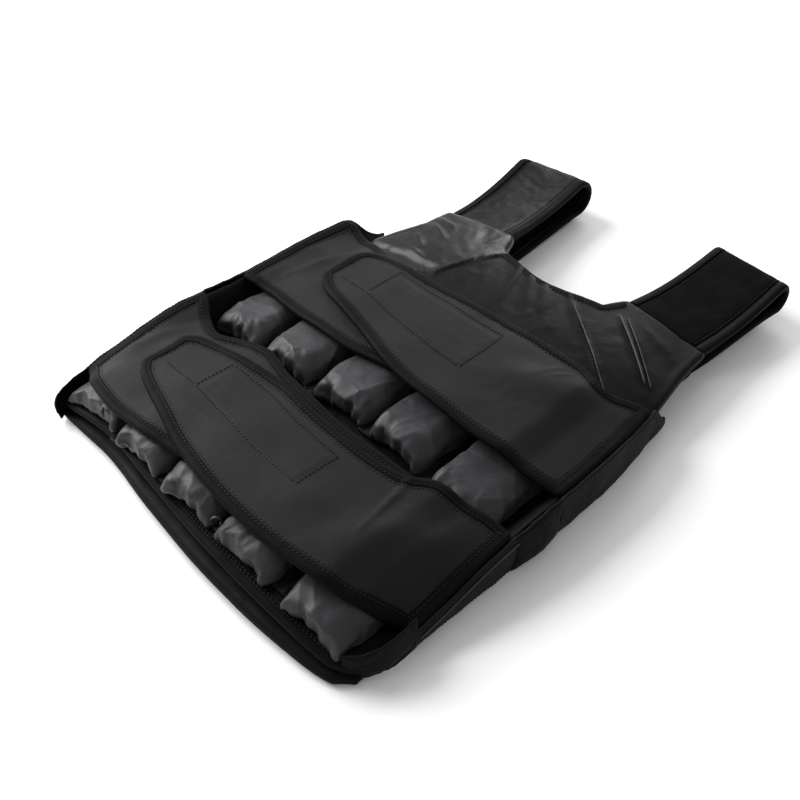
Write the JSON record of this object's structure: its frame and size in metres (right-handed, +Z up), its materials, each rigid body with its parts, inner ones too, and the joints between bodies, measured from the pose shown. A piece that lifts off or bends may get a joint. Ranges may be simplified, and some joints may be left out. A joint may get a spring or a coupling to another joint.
{
  "type": "weighted vest",
  "caption": "Training vest lying on its back, closed by overlapping neoprene wraps over rows of weight pouches, with folded shoulder straps.",
  "frame": {"origin": "on the flat underside of the back panel, on the body's centre line and halfway between hem and shoulder fold", "axes": "+X to the right as the front is seen, +Y from hem to shoulders, +Z up through back, pouches and wraps"},
  "size_m": [0.3888, 0.5946, 0.0719],
  "materials": {
    "shell_nylon": "woven nylon with a soft sheen",
    "pouch_nylon": "thin crinkled nylon",
    "neoprene": "matt knit-faced neoprene",
    "binding": "folded binding tape",
    "elastic": "ribbed elastic webbing"
  },
  "bodies": {
    "root": {"back_panel": "shell_nylon", "front_panel": "shell_nylon", "hem_binding": "binding", "neck_binding": "binding", "shoulder_strap_left": "shell_nylon", "shoulder_strap_right": "shell_nylon", "side_elastic_lower_left": "elastic", "side_elastic_lower_right": "elastic", "side_elastic_upper_left": "elastic", "side_elastic_upper_right": "elastic", "side_gusset_left": "shell_nylon", "side_gusset_right": "shell_nylon", "weight_pouch_lower_1": "pouch_nylon", "weight_pouch_lower_2": "pouch_nylon", "weight_pouch_lower_3": "pouch_nylon", "weight_pouch_lower_4": "pouch_nylon", "weight_pouch_lower_5": "pouch_nylon", "weight_pouch_upper_1": "pouch_nylon", "weight_pouch_upper_2": "pouch_nylon", "weight_pouch_upper_3": "pouch_nylon", "weight_pouch_upper_4": "pouch_nylon", "weight_pouch_upper_5": "pouch_nylon", "wrap_lower_left": "neoprene", "wrap_lower_right": "neoprene", "wrap_upper_left": "neoprene", "wrap_upper_right": "neoprene", "wrap_binding_lower_left": "binding", "wrap_binding_lower_right": "binding", "wrap_binding_upper_left": "binding", "wrap_binding_upper_right": "binding"}
  },
  "joints": []
}
